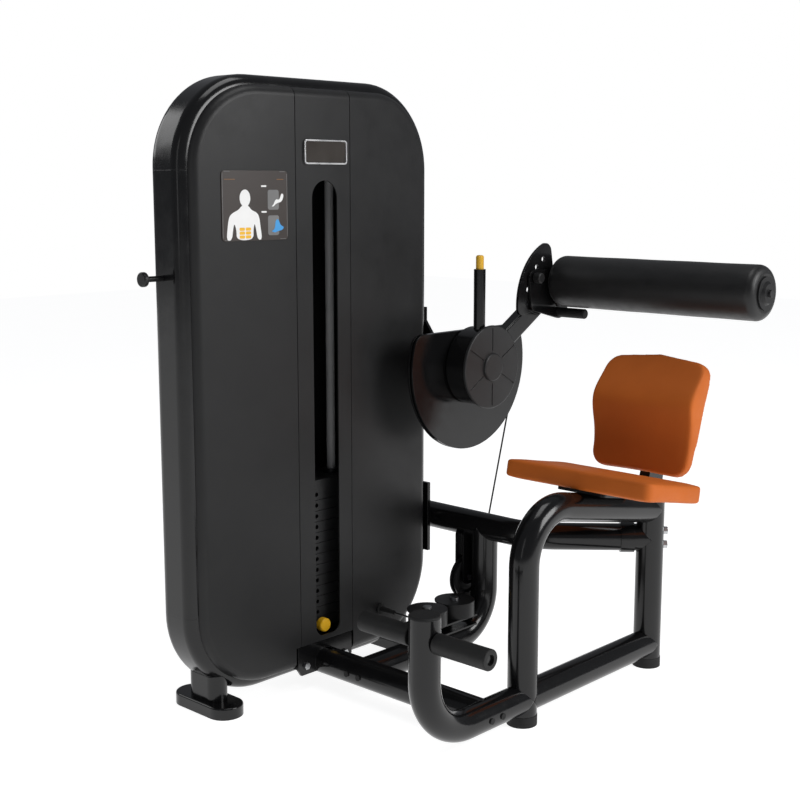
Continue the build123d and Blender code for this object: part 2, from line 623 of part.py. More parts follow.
pivot_pin = rod_y(PIVOT_X, -262, -244, PIVOT_Z, 12) + rod_y(PIVOT_X, -243.5, -238, PIVOT_Z, 18)
pivot_pin += rod_y(PIVOT_X, -244, -243, PIVOT_Z, 12) + rod_y(PIVOT_X, -266, -262, PIVOT_Z, 16)
axle = rod_y(ROLLER_X, -944, -254, ROLLER_Z, 12) + rod_y(ROLLER_X, -951, -944, ROLLER_Z, 10)
roller_bars = group(axle, pivot_pin)
adjust_handle = fillet(rod_y(799, -358, -262, 971, 14.5).edges().group_by(Axis.Y)[0], 5)
roller_index_pin = rod_y(PIN2_X, -268, -252.6, PIN2_Z, 7.95)
roller_index_pin += fillet(rod_y(PIN2_X, -290, -266, PIN2_Z, 15).edges(), 4)

foam = rod_y(ROLLER_X, ROLLER_NEAR, ROLLER_FAR, ROLLER_Z, ROLLER_R)
foam = fillet(foam.edges(), 18)
roller_foam = foam - rod_y(ROLLER_X, ROLLER_NEAR - 1, ROLLER_FAR + 1, ROLLER_Z, 16)
roller_core = rod_y(ROLLER_X, ROLLER_NEAR, -263, ROLLER_Z, 16)
roller_core += rod_y(ROLLER_X, ROLLER_NEAR - 4, ROLLER_NEAR, ROLLER_Z, 44)
roller_core += Pos(ROLLER_X, ROLLER_NEAR - 8, ROLLER_Z) * Rot(90, 0, 0) * Cone(32, 26, 8)
roller_core -= rod_y(ROLLER_X, -960, -250, ROLLER_Z, 12.05)

# ---------------------------------------------------------------- seat and backrest
seat_plane = Plane(
    origin=(SEAT_AXIS[0], SEAT_Y, SEAT_AXIS[1]),
    x_dir=(cos(radians(SEAT_TILT)), 0, -sin(radians(SEAT_TILT))),
    z_dir=(sin(radians(SEAT_TILT)), 0, cos(radians(SEAT_TILT))),
)
seat_mount = seat_plane * extrude(Pos(152, 0, TUBE - 1) * RectangleRounded(190, 150, 12), amount=8)
seat_mount -= bar(SEAT_POINTS, 130, TUBE)
seat_pad = extrude(Pos(151.8, 0, TUBE + 7.3) * RectangleRounded(262, 458, 22), amount=53)
seat_pad = seat_plane * fillet(seat_pad.edges().filter_by(Plane.XY), 9)

BACK_LEAN = degrees(atan2(76, 215))
back_plane = Plane(
    origin=(671, SEAT_Y, 614),
    x_dir=(0, -1, 0),
    z_dir=(-cos(radians(BACK_LEAN)), 0, sin(radians(BACK_LEAN))),
)


def back_outline(inset):
    corners = [
        (-152 + inset, -50 + inset),
        (152 - inset, -50 + inset),
        (160 - inset, 90),
        (156 - inset, 258 - inset),
        (0, 277 - inset),
        (-156 + inset, 258 - inset),
        (-160 + inset, 90),
    ]
    return make_face(FilletPolyline(*corners, radius=44 - inset, close=True))


# side view of the pad, (height along the back, thickness): full at the lumbar, thin at the top
back_spline = Spline((-60, 33), (30, 42), (90, 57), (140, 68), (195, 60), (290, 28))
back_profile = make_face([
    back_spline,
    Line((290, 28), (290, 0)),
    Line((290, 0), (-60, 0)),
    Line((-60, 0), (-60, 33)),
])
side_plane = Plane(origin=(-200, 0, 0), x_dir=(0, 1, 0), z_dir=(1, 0, 0))
back_body = extrude(back_outline(0), amount=90) & extrude(side_plane * back_profile, amount=400)
backrest_pad = back_plane * fillet(back_body.faces().sort_by(Axis.Z)[-1].edges(), 11)
backrest_board = back_plane * Pos(0, 0, -12.3) * extrude(back_outline(24), amount=12)
flange = Pos(0, 75, -19) * RectangleRounded(110, 190, 12)
back_bracket = back_plane * extrude(flange, amount=6.7)
web = Polyline((694, 501), (734, 501), (742, 560), (738, 700), (700, 700), (640, 560), close=True)
back_web = extrude(Plane.XZ.offset(-SEAT_Y - 16) * make_face(web), amount=32)
front_space = back_plane * Pos(0, 75, 181) * Box(600, 900, 400)
back_web -= front_space
back_bracket += back_web
pad_mounts = group(seat_mount, back_bracket)


def bolt_head_y(x, z, y):
    head = extrude(Plane.XZ.offset(-y) * Pos(x, z) * RegularPolygon(10, 6), amount=7)
    return head


def beam_bolt(z):
    # through-bolt of the cross beam, on the far side of the rear post
    start = Vector(REAR_POST_X, SEAT_Y, z) + beam_dir * (TUBE - 2)
    head = Plane(origin=start, z_dir=beam_dir) * RegularPolygon(11, 6)
    return extrude(head, amount=12) - rear_post_solid


frame_bolts = group(
    bolt_head_y(-84, 67, -95),
    bolt_head_y(60, 67, -95),
    beam_bolt(BEAM_Z + 20),
    beam_bolt(BEAM_Z - 20),
)

# ---------------------------------------------------------------- export
NODES = {
    "rim_uprights": rim_uprights,
    "rim_arches": rim_arches,
    "tower_posts": tower_posts,
    "tower_foot_pads": tower_foot_pads,
    "front_cover_left": front_cover_left,
    "front_cover_centre": front_cover_centre,
    "front_cover_right": front_cover_right,
    "rear_cover": rear_cover,
    "display_bezel": display_bezel,
    "display_window": display_window,
    "instruction_placard": instruction_placard,
    "towel_peg": towel_peg,
    "top_carrier": top_carrier,
    "stack_base": stack_base,
    "guide_rods": guide_rods,
    "rubber_pads": rubber_pads,
    "base_rail": base_rail,
    "foot_hoop": foot_hoop,
    "tube_plugs": tube_plugs,
    "peg_grips": peg_grips,
    "seat_front_tube": seat_front_tube,
    "seat_rear_post": seat_rear_post,
    "seat_floor_tube": seat_floor_tube,
    "cross_beam": cross_beam,
    "curved_post": curved_post,
    "side_plates": side_plates,
    "bearing_housing": bearing_housing,
    "pulley_brackets": pulley_brackets,
    "pulley_axles": pulley_axles,
    "low_pulley_covers": low_pulley_covers,
    "cable_grommet": cable_grommet,
    "drive_cable": drive_cable,
    "frame_bolts": frame_bolts,
    "pad_mounts": pad_mounts,
    "seat_pad": seat_pad,
    "backrest_board": backrest_board,
    "backrest_pad": backrest_pad,
    "cam_plate": cam_plate,
    "hub_shaft": hub_shaft,
    "hub_drum": hub_drum,
    "hub_cover": hub_cover,
    "press_arm": press_arm,
    "adjuster_plate": adjuster_plate,
    "pull_pin": pull_pin,
    "roller_bracket": roller_bracket,
    "roller_bars": roller_bars,
    "adjust_handle": adjust_handle,
    "roller_index_pin": roller_index_pin,
    "roller_foam": roller_foam,
    "roller_core": roller_core,
    "head_plate": head_plate,
    "weight_plates": weight_plates,
    "stack_cable": stack_cable,
    "selector_pin": selector_pin,
    "beam_pulley": beam_pulley,
    "low_pulley_1": low_pulley_1,
    "low_pulley_2": low_pulley_2,
    "base_pulley": base_pulley,
    "top_pulley_1": top_pulley_1,
    "top_pulley_2": top_pulley_2,
}

os.makedirs("parts", exist_ok=True)
low = Vector(1e9, 1e9, 1e9)
high = Vector(-1e9, -1e9, -1e9)
for name, shape in NODES.items():
    moved = Pos(*SHIFT) * shape
    export_step(moved, f"parts/{name}.step")
    bounds = moved.bounding_box()
    low = Vector(min(low.X, bounds.min.X), min(low.Y, bounds.min.Y), min(low.Z, bounds.min.Z))
    high = Vector(max(high.X, bounds.max.X), max(high.Y, bounds.max.Y), max(high.Z, bounds.max.Z))
    print(f"{name:22s} solids {len(moved.solids())} volume {moved.volume / 1000:9.1f} cm3")
print("nodes", len(NODES), "low", low, "high", high)
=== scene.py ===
import json
from math import cos, exp, pi, radians, sin, sqrt

import bpy
import bmesh
import numpy as np
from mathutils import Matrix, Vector


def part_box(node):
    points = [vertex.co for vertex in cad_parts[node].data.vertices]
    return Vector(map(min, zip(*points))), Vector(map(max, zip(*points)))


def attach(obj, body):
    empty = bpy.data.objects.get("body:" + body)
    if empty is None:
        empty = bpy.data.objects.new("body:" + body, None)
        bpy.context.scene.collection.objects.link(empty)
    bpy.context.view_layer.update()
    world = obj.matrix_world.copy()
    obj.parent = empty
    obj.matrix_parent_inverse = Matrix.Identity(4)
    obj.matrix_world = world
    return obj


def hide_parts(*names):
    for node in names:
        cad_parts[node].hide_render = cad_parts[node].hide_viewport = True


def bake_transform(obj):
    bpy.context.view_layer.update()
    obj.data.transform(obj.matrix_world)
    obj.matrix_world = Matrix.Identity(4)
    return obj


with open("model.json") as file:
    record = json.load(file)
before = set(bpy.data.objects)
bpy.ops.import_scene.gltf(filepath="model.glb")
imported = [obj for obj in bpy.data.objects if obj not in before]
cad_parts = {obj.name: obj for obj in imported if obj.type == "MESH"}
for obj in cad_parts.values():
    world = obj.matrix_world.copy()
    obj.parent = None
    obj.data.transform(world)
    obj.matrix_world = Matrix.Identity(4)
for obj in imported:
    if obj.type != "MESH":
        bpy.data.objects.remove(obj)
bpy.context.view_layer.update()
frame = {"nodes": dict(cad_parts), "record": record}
nodes = frame["nodes"]

# a new Blender file's own cube, light and camera
for leftover in ("Cube", "Light", "Camera"):
    if leftover in bpy.data.objects and leftover not in nodes:
        bpy.data.objects.remove(bpy.data.objects[leftover])

# ------------------------------------------------------------------ places
# Distances in this script are in millimetres from the tower's centre on the floor,
# as in the part's source. at() turns them into the row frame.
MM = 0.001
rod_low, rod_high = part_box("guide_rods")
TOWER = (rod_low + rod_high) / 2


def at(x, y, z):
    return Vector((TOWER.x + x * MM, TOWER.y + y * MM, z * MM))


# ------------------------------------------------------------------ materials
def shader(name, color, rough, metallic=0.0, **sockets):
    mat = bpy.data.materials.new(name)
    mat.use_nodes = True
    bsdf = mat.node_tree.nodes["Principled BSDF"]
    bsdf.inputs["Base Color"].default_value = (*color, 1)
    bsdf.inputs["Roughness"].default_value = rough
    bsdf.inputs["Metallic"].default_value = metallic
    for socket, value in sockets.items():
        bsdf.inputs[socket.replace("_", " ")].default_value = value
    return mat, mat.node_tree, bsdf


def object_coords(tree, stretch=(1, 1, 1)):
    coord = tree.nodes.new("ShaderNodeTexCoord")
    mapping = tree.nodes.new("ShaderNodeMapping")
    mapping.inputs["Scale"].default_value = stretch
    tree.links.new(coord.outputs["Object"], mapping.inputs["Vector"])
    return mapping.outputs["Vector"]


def noise_node(tree, vector, scale, detail=4.0, rough=0.55):
    node = tree.nodes.new("ShaderNodeTexNoise")
    node.inputs["Scale"].default_value = scale
    node.inputs["Detail"].default_value = detail
    node.inputs["Roughness"].default_value = rough
    tree.links.new(vector, node.inputs["Vector"])
    return node.outputs["Fac"]


def spread(tree, value, low, high):
    node = tree.nodes.new("ShaderNodeMapRange")
    node.inputs["From Min"].default_value = 0.3
    node.inputs["From Max"].default_value = 0.7
    node.inputs["To Min"].default_value = low
    node.inputs["To Max"].default_value = high
    tree.links.new(value, node.inputs["Value"])
    return node.outputs["Result"]


def two_tone(tree, value, dark, light):
    ramp = tree.nodes.new("ShaderNodeValToRGB")
    ramp.color_ramp.elements[0].position = 0.32
    ramp.color_ramp.elements[1].position = 0.68
    ramp.color_ramp.elements[0].color = (*dark, 1)
    ramp.color_ramp.elements[1].color = (*light, 1)
    tree.links.new(value, ramp.inputs["Fac"])
    return ramp.outputs["Color"]


def bump(tree, height, strength, distance, before=None):
    node = tree.nodes.new("ShaderNodeBump")
    node.inputs["Strength"].default_value = strength
    node.inputs["Distance"].default_value = distance
    tree.links.new(height, node.inputs["Height"])
    if before is not None:
        tree.links.new(before, node.inputs["Normal"])
    return node.outputs["Normal"]


def soft_edges(tree, radius):
    node = tree.nodes.new("ShaderNodeBevel")
    node.samples = 4
    node.inputs["Radius"].default_value = radius
    return node.outputs["Normal"]


def coated(name, dark, light, rough_low, rough_high, peel, edge=0.0012, metallic=0.0, **sockets):
    # paint or plastic: faint mottling, uneven gloss, a fine surface texture, eased edges
    mat, tree, bsdf = shader(name, dark, rough_low, metallic, **sockets)
    vector = object_coords(tree)
    broad = noise_node(tree, vector, 6.0, 5.0)
    fine = noise_node(tree, vector, 900.0, 2.0)
    smudge = noise_node(tree, vector, 23.0, 6.0, 0.65)
    tree.links.new(two_tone(tree, broad, dark, light), bsdf.inputs["Base Color"])
    tree.links.new(spread(tree, smudge, rough_low, rough_high), bsdf.inputs["Roughness"])
    normal = bump(tree, fine, peel, 0.0004, soft_edges(tree, edge))
    tree.links.new(normal, bsdf.inputs["Normal"])
    return mat


def brushed(name, dark, light, rough, stretch):
    # bare metal with drawn lines along one axis
    mat, tree, bsdf = shader(name, dark, rough, 1.0)
    lines = noise_node(tree, object_coords(tree, stretch), 60.0, 6.0, 0.7)
    haze = noise_node(tree, object_coords(tree), 14.0, 4.0)
    tree.links.new(two_tone(tree, lines, dark, light), bsdf.inputs["Base Color"])
    tree.links.new(spread(tree, haze, rough - 0.06, rough + 0.1), bsdf.inputs["Roughness"])
    tree.links.new(bump(tree, lines, 0.15, 0.0003, soft_edges(tree, 0.0006)), bsdf.inputs["Normal"])
    return mat


def upholstery(name, dark, light, rough, grain_scale, grain, sheen, gloss):
    # coated fabric: pebbled grain, slow colour change, slightly shinier crests
    mat, tree, bsdf = shader(name, light, rough, Sheen_Weight=sheen, Specular_IOR_Level=gloss)
    vector = object_coords(tree)
    slow = noise_node(tree, vector, 4.5, 5.0)
    cells = tree.nodes.new("ShaderNodeTexVoronoi")
    cells.feature = "F1"
    cells.inputs["Scale"].default_value = grain_scale
    tree.links.new(vector, cells.inputs["Vector"])
    tree.links.new(two_tone(tree, slow, dark, light), bsdf.inputs["Base Color"])
    wear = noise_node(tree, vector, 30.0, 6.0, 0.6)
    tree.links.new(spread(tree, wear, rough - 0.07, rough + 0.09), bsdf.inputs["Roughness"])
    pebble = bump(tree, cells.outputs["Distance"], grain, 0.0006)
    wrinkle = bump(tree, noise_node(tree, vector, 55.0, 5.0), grain * 0.6, 0.0008, pebble)
    tree.links.new(wrinkle, bsdf.inputs["Normal"])
    return mat


GLOSS_BLACK = coated(
    "gloss_black", (0.004, 0.004, 0.0043), (0.0065, 0.0065, 0.0068), 0.12, 0.22, 0.02, Specular_IOR_Level=0.4
)
CHARCOAL = coated(
    "charcoal_panel", (0.0115, 0.0115, 0.0118), (0.0145, 0.0145, 0.0148), 0.36, 0.46, 0.1,
    Specular_IOR_Level=0.28,
)
HUB_GREY = coated(
    "hub_grey", (0.016, 0.016, 0.0165), (0.023, 0.023, 0.0235), 0.3, 0.42, 0.1, Specular_IOR_Level=0.35
)
PLATE_BLACK = coated("plate_black", (0.007, 0.007, 0.0075), (0.013, 0.013, 0.0135), 0.4, 0.55, 0.35)
MOULDED = coated(
    "moulded_black", (0.007, 0.007, 0.0075), (0.011, 0.011, 0.0115), 0.36, 0.48, 0.2, Specular_IOR_Level=0.35
)
RUBBER = coated(
    "rubber_black", (0.006, 0.006, 0.0063), (0.01, 0.01, 0.01), 0.6, 0.76, 0.5, Specular_IOR_Level=0.35
)
GRIP = coated(
    "peg_grip", (0.006, 0.006, 0.006), (0.01, 0.01, 0.01), 0.5, 0.66, 0.6, Specular_IOR_Level=0.35
)
ROD_GREY = coated("guide_rod_grey", (0.36, 0.36, 0.36), (0.46, 0.46, 0.46), 0.35, 0.48, 0.08)
YELLOW = coated("knob_yellow", (0.78, 0.42, 0.01), (0.88, 0.5, 0.016), 0.3, 0.42, 0.08, Specular_IOR_Level=0.3)
CABLE = coated("coated_cable", (0.01, 0.01, 0.01), (0.022, 0.022, 0.022), 0.3, 0.45, 0.2, 0.0002)
WINDOW = coated("smoked_window", (0.034, 0.029, 0.025), (0.046, 0.04, 0.035), 0.12, 0.22, 0.01)
PLACARD = coated("placard_ground", (0.021, 0.014, 0.011), (0.029, 0.02, 0.016), 0.34, 0.44, 0.04)
PRINT_WHITE = coated("print_white", (0.78, 0.78, 0.77), (0.86, 0.86, 0.85), 0.4, 0.5, 0.03, 0.0001)
PRINT_GREY = coated("print_grey", (0.13, 0.13, 0.13), (0.18, 0.18, 0.18), 0.4, 0.5, 0.03, 0.0001)
PRINT_ORANGE = coated("print_orange", (0.2, 0.08, 0.01), (0.26, 0.11, 0.014), 0.4, 0.5, 0.03, 0.0001)
PRINT_AMBER = coated("print_amber", (0.8, 0.42, 0.01), (0.88, 0.5, 0.015), 0.4, 0.5, 0.03, 0.0001)
PRINT_BLUE = coated("print_blue", (0.03, 0.25, 0.6), (0.05, 0.34, 0.72), 0.4, 0.5, 0.03, 0.0001)
STEEL = brushed("turned_steel", (0.4, 0.41, 0.42), (0.6, 0.61, 0.62), 0.3, (1, 1, 1))
DARK_STEEL = brushed("blackened_steel", (0.05, 0.05, 0.052), (0.09, 0.09, 0.092), 0.34, (1, 1, 1))
SILVER = brushed("silver_trim", (0.6, 0.6, 0.6), (0.75, 0.75, 0.75), 0.25, (0.05, 1, 1))
ORANGE = upholstery(
    "burnt_orange_cover", (0.5, 0.118, 0.018), (0.58, 0.14, 0.022),
    rough=0.55, grain_scale=620.0, grain=0.2, sheen=0.0, gloss=0.16,
)
FOAM = upholstery(
    "black_foam_cover", (0.005, 0.005, 0.0053), (0.008, 0.008, 0.0083),
    rough=0.42, grain_scale=480.0, grain=0.3, sheen=0.03, gloss=0.4,
)


PIN_TIP = 39.2


def pin_material():
    # a steel stem with a yellow plastic tip, PIN_TIP long
    mat, tree, bsdf = shader("pull_pin_two_part", (0.7, 0.4, 0.03), 0.32)
    coord = tree.nodes.new("ShaderNodeTexCoord")
    split = tree.nodes.new("ShaderNodeSeparateXYZ")
    step = tree.nodes.new("ShaderNodeMath")
    step.operation = "GREATER_THAN"
    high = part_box("pull_pin")[1]
    step.inputs[1].default_value = high.z - PIN_TIP * MM
    tree.links.new(coord.outputs["Object"], split.inputs["Vector"])
    tree.links.new(split.outputs["Z"], step.inputs[0])
    broad = noise_node(tree, object_coords(tree), 20.0)
    tone = two_tone(tree, broad, (0.66, 0.36, 0.02), (0.78, 0.46, 0.035))
    mix = tree.nodes.new("ShaderNodeMix")
    mix.data_type = "RGBA"
    mix.inputs["A"].default_value = (0.5, 0.51, 0.52, 1)
    tree.links.new(step.outputs["Value"], mix.inputs["Factor"])
    tree.links.new(tone, mix.inputs["B"])
    tree.links.new(mix.outputs["Result"], bsdf.inputs["Base Color"])
    steel = tree.nodes.new("ShaderNodeMath")
    steel.operation = "SUBTRACT"
    steel.inputs[0].default_value = 1.0
    tree.links.new(step.outputs["Value"], steel.inputs[1])
    tree.links.new(steel.outputs["Value"], bsdf.inputs["Metallic"])
    fine = noise_node(tree, object_coords(tree), 700.0)
    tree.links.new(bump(tree, fine, 0.1, 0.0004, soft_edges(tree, 0.001)), bsdf.inputs["Normal"])
    return mat


FINISH = {
    "frame_black": GLOSS_BLACK,
    "panel_charcoal": CHARCOAL,
    "steel": STEEL,
    "plate_black": PLATE_BLACK,
    "pad_orange": ORANGE,
    "foam_black": FOAM,
    "rubber_black": RUBBER,
    "plastic_black": MOULDED,
    "knob_yellow": YELLOW,
    "bezel_silver": SILVER,
    "window_brown": WINDOW,
    "placard": PLACARD,
    "cable_black": CABLE,
}
SPECIAL = {
    "guide_rods": ROD_GREY,
    "hub_cover": HUB_GREY,
    "peg_grips": GRIP,
    "pull_pin": pin_material(),
    "cable_grommet": RUBBER,
    "roller_bars": DARK_STEEL,
}
for part in frame["record"]["subparts"]:
    node = nodes[part["node"]]
    finish = SPECIAL.get(part["node"], FINISH[part["material_slot"]])
    node.data.materials.clear()
    node.data.materials.append(finish)


# ------------------------------------------------------------------ mesh helpers
def mesh_object(name, vertices, faces, material, smooth=True):
    mesh = bpy.data.meshes.new(name)
    mesh.from_pydata([tuple(v) for v in vertices], [], faces)
    mesh.validate()
    mesh.update()
    obj = bpy.data.objects.new(name, mesh)
    bpy.context.scene.collection.objects.link(obj)
    mesh.materials.append(material)
    if smooth:
        mesh.polygons.foreach_set("use_smooth", [True] * len(mesh.polygons))
    return obj


def apply_modifiers(obj):
    graph = bpy.context.evaluated_depsgraph_get()
    baked = bpy.data.meshes.new_from_object(obj.evaluated_get(graph))
    old = obj.data
    obj.modifiers.clear()
    obj.data = baked
    bpy.data.meshes.remove(old)


def copy_node(node, name, material):
    mesh = nodes[node].data.copy()
    obj = bpy.data.objects.new(name, mesh)
    bpy.context.scene.collection.objects.link(obj)
    mesh.materials.clear()
    mesh.materials.append(material)
    weld = bmesh.new()
    weld.from_mesh(mesh)
    bmesh.ops.remove_doubles(weld, verts=weld.verts, dist=1e-5)
    weld.to_mesh(mesh)
    weld.free()
    return obj


def lathe(name, profile, start, axis, material, turns=96):
    # profile is (along, radius) in millimetres from start, along a unit axis
    axis = Vector(axis)
    side = axis.orthogonal().normalized()
    other = axis.cross(side)
    vertices = []
    for along, radius in profile:
        for k in range(turns):
            angle = 2 * pi * k / turns
            ring = side * cos(angle) + other * sin(angle)
            vertices.append(start + axis * along * MM + ring * radius * MM)
    faces = []
    for i in range(len(profile) - 1):
        for k in range(turns):
            a = i * turns + k
            b = i * turns + (k + 1) % turns
            faces.append((a, b, b + turns, a + turns))
    faces.append(tuple(reversed(range(turns))))
    last = (len(profile) - 1) * turns
    faces.append(tuple(range(last, last + turns)))
    return mesh_object(name, vertices, faces, material)


# ------------------------------------------------------------------ cushions
CLOTH_FRAMES = 20
PAD_INSET = 3.0
PAD_VOXEL = 4.0
PAD_PRESSURE = 4.0
PAD_SWELL = 4.5
ACROSS = Vector((0, 1, 0))


def reach(points, axis):
    along = [point.dot(axis) for point in points]
    return min(along), max(along)


def fit_to(obj, corners, axes):
    # stretches the cushion along each axis until it fills the CAD pad again
    for axis in axes:
        low, high = reach(corners, axis)
        found_low, found_high = reach([v.co for v in obj.data.vertices], axis)
        gain = (high - low) / (found_high - found_low)
        for vertex in obj.data.vertices:
            old = vertex.co.dot(axis)
            vertex.co += axis * (low + (old - found_low) * gain - old)


def even_out(mesh, push, rounds=40):
    # averages the swelling with its neighbours', so that no ripple is left
    edges = np.array([edge.vertices[:] for edge in mesh.edges])
    count = np.bincount(edges.ravel(), minlength=len(push))[:, None]
    for _ in range(rounds):
        total = np.zeros_like(push)
        np.add.at(total, edges[:, 0], push[edges[:, 1]])
        np.add.at(total, edges[:, 1], push[edges[:, 0]])
        push = (push + total / count) / 2
    return push


def puff(obj, thickness_axis):
    # shrink, remesh, blow up as cloth, limit the swelling, round off, fit to the CAD pad
    corners = [v.co.copy() for v in obj.data.vertices]
    shrink = obj.modifiers.new("shrink", "DISPLACE")
    shrink.strength = -PAD_INSET * MM
    shrink.mid_level = 0.0
    remesh = obj.modifiers.new("remesh", "REMESH")
    remesh.mode = "VOXEL"
    remesh.voxel_size = PAD_VOXEL * MM
    relax = obj.modifiers.new("relax", "SMOOTH")
    relax.iterations = 3
    relax.factor = 0.5
    apply_modifiers(obj)
    before = [v.co.copy() for v in obj.data.vertices]
    cloth = obj.modifiers.new("cloth", "CLOTH")
    cloth.settings.quality = 5
    cloth.settings.mass = 0.25
    cloth.settings.tension_stiffness = 40
    cloth.settings.compression_stiffness = 40
    cloth.settings.shear_stiffness = 20
    cloth.settings.bending_stiffness = 10.0
    cloth.settings.use_pressure = True
    cloth.settings.uniform_pressure_force = PAD_PRESSURE
    cloth.settings.effector_weights.gravity = 0
    cloth.collision_settings.use_collision = False
    cloth.point_cache.frame_start = 1
    cloth.point_cache.frame_end = CLOTH_FRAMES
    for step in range(1, CLOTH_FRAMES + 1):
        bpy.context.scene.frame_set(step)
    graph = bpy.context.evaluated_depsgraph_get()
    after = [v.co.copy() for v in obj.evaluated_get(graph).data.vertices]
    obj.modifiers.clear()
    bpy.context.scene.frame_set(1)
    pushes = []
    for start, end in zip(before, after):
        push = end - start
        if push.length > PAD_SWELL * MM:
            push = push.normalized() * PAD_SWELL * MM
        pushes.append(push)
    smoothed = even_out(obj.data, np.array(pushes))
    for vertex, start, push in zip(obj.data.vertices, before, smoothed):
        vertex.co = start + Vector(push)
    even = obj.modifiers.new("even", "SMOOTH")
    even.iterations = 2
    even.factor = 0.5
    smooth = obj.modifiers.new("round", "SUBSURF")
    smooth.levels = 1
    smooth.render_levels = 1
    apply_modifiers(obj)
    fit_to(obj, corners, (thickness_axis, ACROSS, thickness_axis.cross(ACROSS)))
    obj.data.polygons.foreach_set("use_smooth", [True] * len(obj.data.polygons))


def crest(obj, middle, up, out, height, half_width, depth):
    # a fuller band across a cushion, fading above, below and toward its back
    for vertex in obj.data.vertices:
        offset = (vertex.co - middle) / MM
        band = exp(-((offset.dot(up) / half_width) ** 2))
        share = min(1.0, max(0.0, offset.dot(out) / depth))
        vertex.co += out * height * MM * band * share


def finish_pad(obj, node, body):
    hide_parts(node)
    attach(obj, body)


SEAT_TILT = radians(10.98)
seat_up = Vector((sin(SEAT_TILT), 0, cos(SEAT_TILT)))
seat = copy_node("seat_pad", "seat_cushion", ORANGE)
puff(seat, seat_up)
finish_pad(seat, "seat_pad", "frame")

BACK_LEAN = radians(19.47)
back_out = Vector((-cos(BACK_LEAN), 0, sin(BACK_LEAN)))
back_up = Vector((sin(BACK_LEAN), 0, cos(BACK_LEAN)))
back_foot = at(671, -657, 614)
LUMBAR_UP = 132
lumbar = back_foot + back_up * LUMBAR_UP * MM
backrest = copy_node("backrest_pad", "backrest_cushion", ORANGE)
puff(backrest, back_out)
crest(backrest, lumbar, back_up, back_out, height=15, half_width=58, depth=50)
finish_pad(backrest, "backrest_pad", "frame")

# ------------------------------------------------------------------ roller
foam_low, foam_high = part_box("roller_foam")
foam_r = (foam_high.x - foam_low.x) / 2 / MM
foam_long = (foam_high.y - foam_low.y) / MM
foam_start = Vector(((foam_low.x + foam_high.x) / 2, foam_high.y, (foam_low.z + foam_high.z) / 2))


BORE_R = 16.6
BORE_DEEP = 26.0
ROUND_R = 24.0
FACE_DISH = 0.3
FACE_STEPS = 3
ROUND_STEPS = 12
BARREL_STEPS = 24
BARREL_SAG = 0.5


def roller_profile():
    # the rolled end from the bore outward, then the barrel, then the same end mirrored
    flat_r = foam_r - ROUND_R
    end = [(BORE_DEEP, BORE_R), (1.5, BORE_R + 0.4), (2 * FACE_DISH, BORE_R + 3)]
    for step in range(1, FACE_STEPS + 1):
        dish = FACE_DISH * (2 - sin(step * pi / FACE_STEPS))
        end.append((dish, BORE_R + 3 + (flat_r - BORE_R - 6) * step / FACE_STEPS))
    for step in range(ROUND_STEPS + 1):
        angle = pi / 2 * step / ROUND_STEPS
        end.append((ROUND_R - ROUND_R * cos(angle), flat_r + ROUND_R * sin(angle)))
    barrel = []
    for step in range(1, BARREL_STEPS):
        share = step / BARREL_STEPS
        sag = BARREL_SAG * sin(3 * pi * share) ** 2
        barrel.append((ROUND_R + (foam_long - 2 * ROUND_R) * share, foam_r - sag))
    mirrored = [(foam_long - along, radius) for along, radius in reversed(end)]
    return end + barrel + mirrored


roller = lathe("roller_cover", roller_profile(), foam_start, (0, -1, 0), FOAM, 128)
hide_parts("roller_foam")
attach(roller, "roller")

# ------------------------------------------------------------------ cable above the stack
run_low, run_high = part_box("stack_cable")
run_middle = (run_low + run_high) / 2
run_start = Vector((run_middle.x, run_middle.y, run_low.z))
RUN_RINGS = 36
run_r = (run_high.x - run_low.x) / 2 / MM
run_long = (run_high.z - run_low.z) / MM
run_profile = [(run_long * k / RUN_RINGS, run_r) for k in range(RUN_RINGS + 1)]
run = lathe("stack_cable_run", run_profile, run_start, (0, 0, 1), CABLE, 16)
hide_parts("stack_cable")
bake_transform(run)

# ------------------------------------------------------------------ placard print
# the placard's face is part of a cylinder of radius PLACARD_R round the line X 0, Y COVER_CENTRE_Y
COVER_CENTRE_Y = 3903.0
PLACARD_R = 4002.0
PRINT_LIFT = 0.35
PRINT_LIFT_OVER = 0.7
PRINT_SUNK = 0.2
placard_low, placard_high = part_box("instruction_placard")
PLACARD_LEFT = (placard_low.x - TOWER.x) / MM
PLACARD_BOTTOM = placard_low.z / MM


def print_point(u, v, lift):
    # u and v run right and up from the placard's lower left corner
    x = PLACARD_LEFT + u
    y = COVER_CENTRE_Y - sqrt((PLACARD_R + lift) ** 2 - x * x)
    return at(x, y, PLACARD_BOTTOM + v)


def print_shape(name, outline, material, lift=PRINT_LIFT):
    # a thin raised print that follows the placard's curve
    top = [print_point(u, v, lift) for u, v in outline]
    under = [print_point(u, v, -PRINT_SUNK) for u, v in outline]
    count = len(outline)
    faces = [tuple(range(count)), tuple(reversed(range(count, 2 * count)))]
    for k in range(count):
        n = (k + 1) % count
        faces.append((k, k + count, n + count, n))
    obj = mesh_object(name, top + under, faces, material, smooth=False)
    fix = bmesh.new()
    fix.from_mesh(obj.data)
    bmesh.ops.recalc_face_normals(fix, faces=fix.faces)
    bmesh.ops.triangulate(fix, faces=[f for f in fix.faces if len(f.verts) > 4])
    fix.to_mesh(obj.data)
    fix.free()
    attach(obj, "frame")


def round_box(u0, v0, u1, v1, r, steps=6):
    points = []
    corners = ((u1 - r, v1 - r, 0), (u0 + r, v1 - r, 90), (u0 + r, v0 + r, 180), (u1 - r, v0 + r, 270))
    for cu, cv, start in corners:
        for k in range(steps + 1):
            angle = radians(start + 90 * k / steps)
            points.append((cu + r * cos(angle), cv + r * sin(angle)))
    return points


